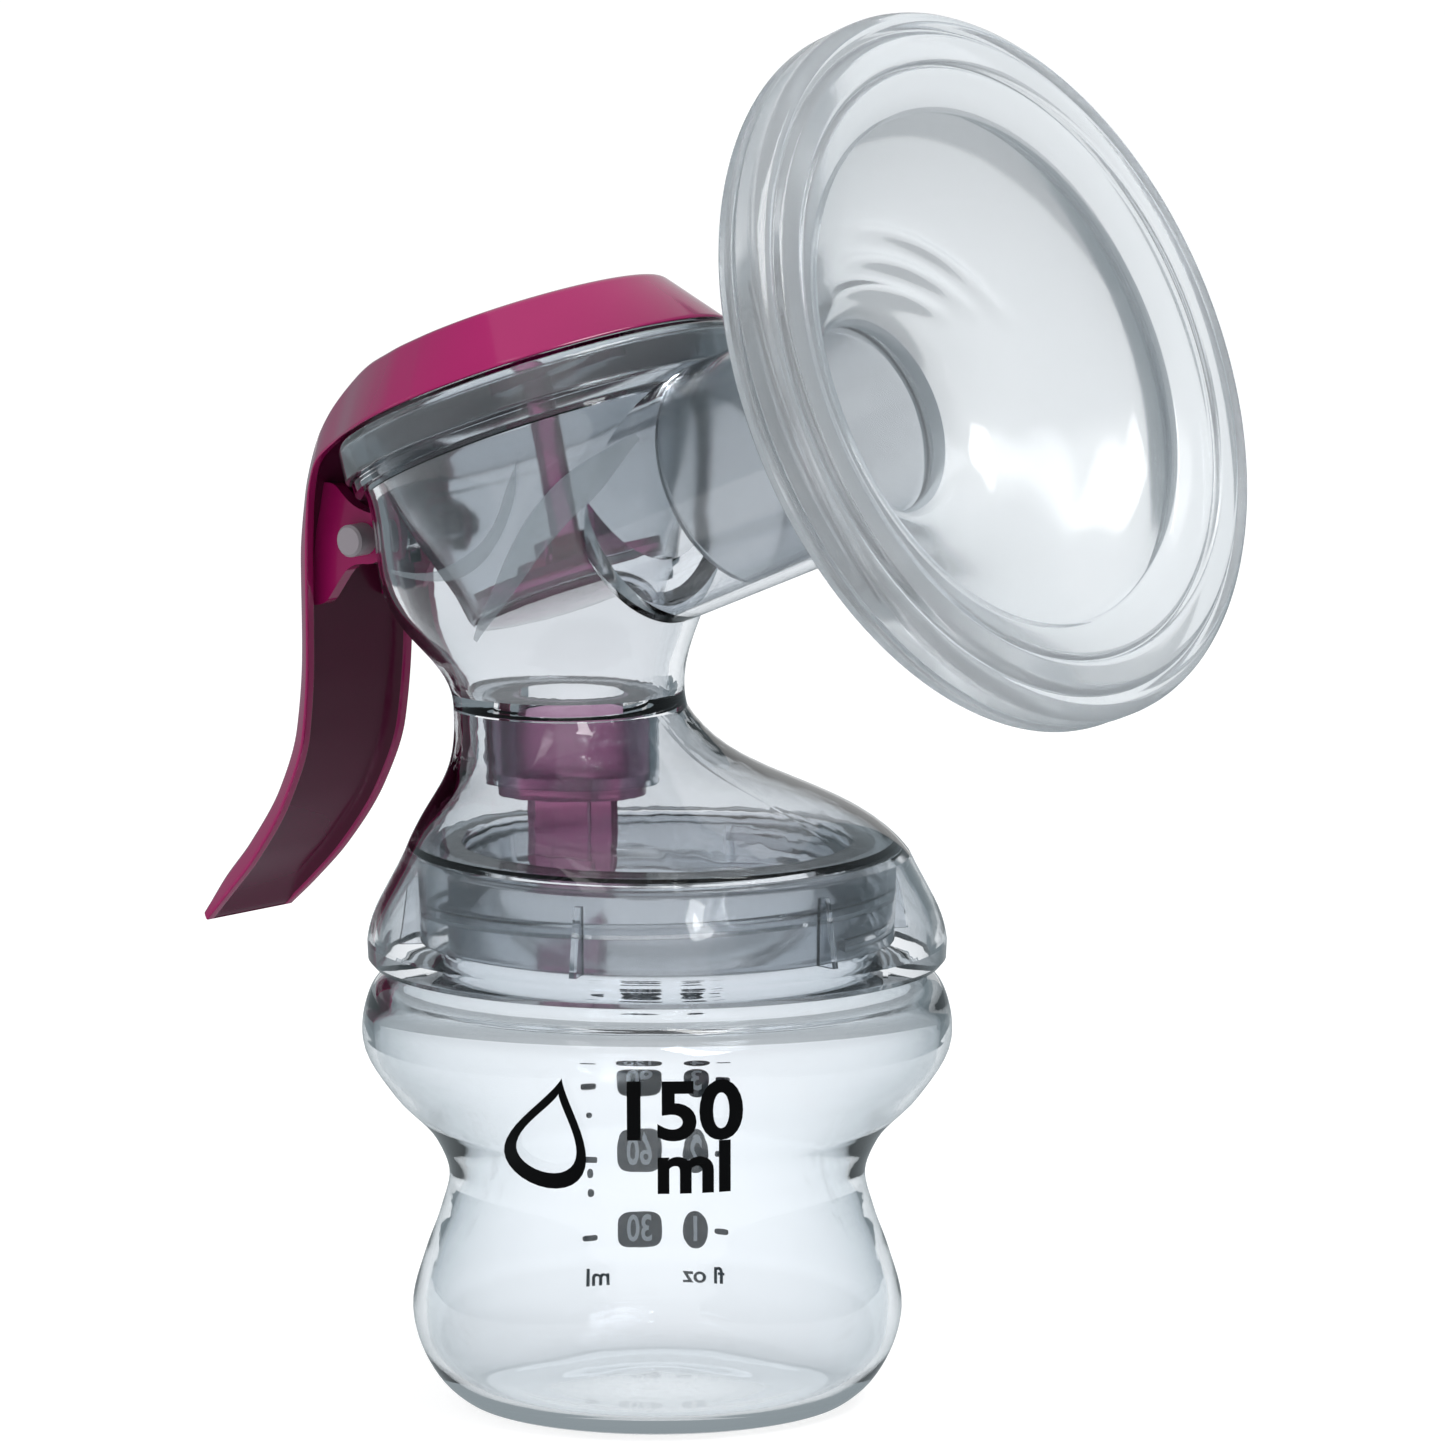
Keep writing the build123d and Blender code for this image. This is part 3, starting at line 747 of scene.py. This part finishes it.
def droplet(centre_x, centre_z, size, stroke):
    """Plain outline of a drop as a strip of quads."""
    inner = []
    outer = []
    count = 40
    for index in range(count):
        turn = 2 * math.pi * index / count
        width = math.sin(turn) * math.sin(turn / 2) ** 1.6
        height = math.cos(turn)
        for scale, line in ((size - stroke, inner), (size, outer)):
            x = width * scale
            z = height * scale
            line.append(Vector((centre_x + x * 0.95 + z * 0.2, centre_z + z - x * 0.2)))
    faces = [
        (index, (index + 1) % count, count + (index + 1) % count, count + index)
        for index in range(count)
    ]
    return inner + outer, faces


def make_front_mark(ink, surface):
    """Generic mark on the front wall: a drop and the bottle's size."""
    shapes = [
        droplet(-12.6, 38.6, 7.4, 2.0),
        lettering("150", 2.6, 41.6, 10.4, weight=0.03),
        lettering("ml", 4.6, 34.2, 9.4, weight=0.03),
    ]
    printed("front_mark", shapes, surface, OUTWARD, RIGHTWARD, (0.06,), ink)


def make_band(name, upper, lower, surface, material):
    """Frosted band on the chamber between two edges, each a row of (turn about the lid's axis, height)."""
    rows = 24
    columns = 6
    points = []
    for row in range(rows + 1):
        ends = []
        for edge in (upper, lower):
            place = row / rows * (len(edge) - 1)
            first = min(int(place), len(edge) - 2)
            t = place - first
            before = edge[max(first - 1, 0)]
            a = edge[first]
            b = edge[first + 1]
            after = edge[min(first + 2, len(edge) - 1)]
            ends.append([
                0.5 * (2 * a[k] + (b[k] - before[k]) * t
                       + (2 * before[k] - 5 * a[k] + 4 * b[k] - after[k]) * t * t
                       + (3 * a[k] - before[k] - 3 * b[k] + after[k]) * t ** 3)
                for k in (0, 1)
            ])
        for column in range(columns + 1):
            share = column / columns
            turn = math.radians(ends[0][0] * (1 - share) + ends[1][0] * share)
            height = ends[0][1] * (1 - share) + ends[1][1] * share
            way = ALONG * math.cos(turn) + SIDE * math.sin(turn)
            start = LID_CENTRE + UP * height + way * 45.0
            hit, normal, _, _ = surface.ray_cast(start * MM, -way)
            points.append(hit / MM + normal * 0.05)
    faces = [
        (row * (columns + 1) + column, row * (columns + 1) + column + 1,
         (row + 1) * (columns + 1) + column + 1, (row + 1) * (columns + 1) + column)
        for row in range(rows)
        for column in range(columns)
    ]
    band = make_piece(name, points, faces, material)
    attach(band, "pump_head")


BAND_ONE = (
    [(-29, -11.5), (-42, -12.5), (-54, -14), (-68, -17), (-80, -20.5), (-92, -24), (-111, -28)],
    [(-29, -12.5), (-41, -16.5), (-53, -18.5), (-66, -21), (-78, -23.5), (-92, -26), (-111, -28.5)],
)
BAND_TWO = (
    [(-65, -10.5), (-69, -14), (-77, -17.5), (-87, -20), (-98, -21), (-110, -20), (-127, -17)],
    [(-65, -10.5), (-71, -13), (-78, -16), (-86, -18), (-96, -19), (-109, -19), (-127, -16.5)],
)


make_camera()
make_world()
make_floor()
make_light("key", 84, 58, 1.1, 0.8, 0.45, 12.0)
make_light("fill", -30, 50, 1.1, 0.6, 0.6, 2.0)
make_light("strip_left", -62, 12, 0.8, 0.08, 0.5, 1.4)
make_flags()

# edge colour of the clear walls: partly the deeper tint of a wall seen along its length, partly painted shade
# for the dark surroundings seen in the rims
WALL_EDGE_TINT_AND_SHADE = (0.50, 0.57, 0.61)
body_clear = finish("body_clear", (0.81, 0.83, 0.855), 0.03, transmission=1.0, tone=0.015, relief=0.008,
                    edge=WALL_EDGE_TINT_AND_SHADE, milky=(55.0, 67.4, 29.6, 0.1))
bottle_clear = finish("bottle_clear", (0.885, 0.91, 0.935), 0.02, transmission=1.0, tone=0.015, relief=0.008,
                      edge=WALL_EDGE_TINT_AND_SHADE, depth=1.6, milky=(56.0, 70.0, 28.0, 0.14))
# edge colour of the silicone: partly the deeper tint of a wall seen along its length, partly painted shade
# for the dark surroundings seen in the rims
SILICONE_EDGE_TINT_AND_SHADE = (0.48, 0.54, 0.58)
cup_silicone = finish("cup_silicone", (0.76, 0.79, 0.815), 0.13, transmission=0.8, ior=1.41, tone=0.02,
                      relief=0.02, edge=SILICONE_EDGE_TINT_AND_SHADE)
soft_silicone = finish("soft_silicone", (0.78, 0.81, 0.835), 0.08, transmission=0.95, ior=1.41, tone=0.02,
                       relief=0.02, edge=SILICONE_EDGE_TINT_AND_SHADE)
pink_moulding = finish("pink_moulding", (0.72, 0.19, 0.42), 0.12, transmission=0.8, tone=0.05, relief=0.01)
pink_rubber = finish("pink_rubber", (0.90, 0.53, 0.72), 0.2, transmission=0.86, ior=1.41, tone=0.03)
# the magenta's edge colour is painted shade, darkening its rims
magenta = finish("magenta_gloss", (0.27, 0.006, 0.085), 0.13, coat=0.35, tone=0.08, relief=0.01,
                 edge=(0.15, 0.003, 0.045))
# painted shade: a darker copy of the same magenta for the hollow of the lever and cap, where the trough lies
# in shade
magenta_painted_shade = finish("magenta_hollow_painted_shade", (0.075, 0.004, 0.026), 0.2, tone=0.1, relief=0.01, shine=0.35)
pin_white = finish("pin_white", (0.32, 0.29, 0.32), 0.3, transmission=0.25, tone=0.03)
slate_ink = finish("slate_ink", (0.045, 0.058, 0.068), 0.45, tone=0.1, shine=0.2)
black_ink = finish("black_ink", (0.002, 0.002, 0.0025), 0.5, tone=0.1, shine=0.08)
pale_ink = finish("pale_ink", (0.9, 0.92, 0.93), 0.45)
frosted = finish("frosted", (0.20, 0.235, 0.26), 0.6, shine=0.2)
frosted.node_tree.nodes["Principled BSDF"].inputs["Alpha"].default_value = 0.55

dress("pump_body", body_clear)
dress("neck_seal", soft_silicone)
dress("pivot_pin", pin_white)
for node in ("diaphragm_plate", "drive_stem"):
    dress(node, pink_moulding)
for node in ("valve_body", "valve_lip_left", "valve_lip_right"):
    dress(node, pink_rubber)

bottle = make_bottle(bottle_clear)
make_cup(cup_silicone)
make_diaphragm(soft_silicone)
make_handle(magenta, magenta_painted_shade)
bottle_wall = surface_of(bottle)
make_scale(slate_ink, pale_ink, bottle_wall)
make_front_mark(black_ink, bottle_wall)
body_wall = surface_of(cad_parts["pump_body"])
make_band("frosted_band_one", *BAND_ONE, body_wall, frosted)
make_band("frosted_band_two", *BAND_TWO, body_wall, frosted)

scene = bpy.context.scene
scene.view_settings.view_transform = "Standard"
scene.cycles.max_bounces = 24
scene.cycles.transmission_bounces = 20
scene.cycles.transparent_max_bounces = 20
scene.cycles.use_denoising = True
